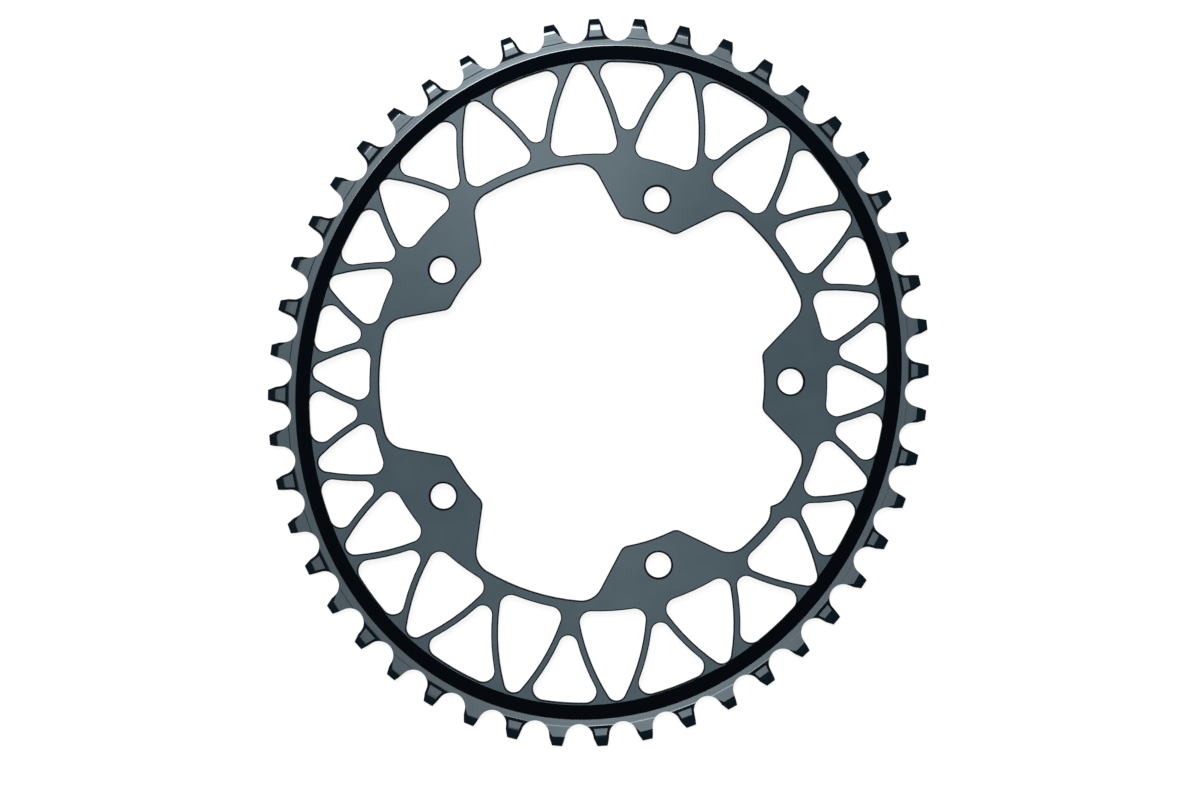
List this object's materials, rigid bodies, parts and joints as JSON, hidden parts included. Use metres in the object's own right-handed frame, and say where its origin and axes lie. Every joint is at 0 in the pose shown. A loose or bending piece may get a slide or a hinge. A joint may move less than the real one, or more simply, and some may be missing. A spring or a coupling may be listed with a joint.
{
  "type": "bicycle chainring",
  "caption": "Oval bicycle chainring with alternating narrow and wide teeth, an open web of arched struts, and inward bolt tabs round a large spider opening.",
  "frame": {"origin": "centre of the bolt circle, in the plane of the bolt tabs' back faces", "axes": "+Z along the ring's axis, outboard, so the ring lies flat on its teeth's backs; +X through one bolt hole"},
  "size_m": [0.1898, 0.2088, 0.0061],
  "materials": {
    "anodised_aluminium": "satin grey anodised faces with near-black machined slopes and edges"
  },
  "bodies": {
    "root": {"chainring": "anodised_aluminium"}
  },
  "joints": []
}
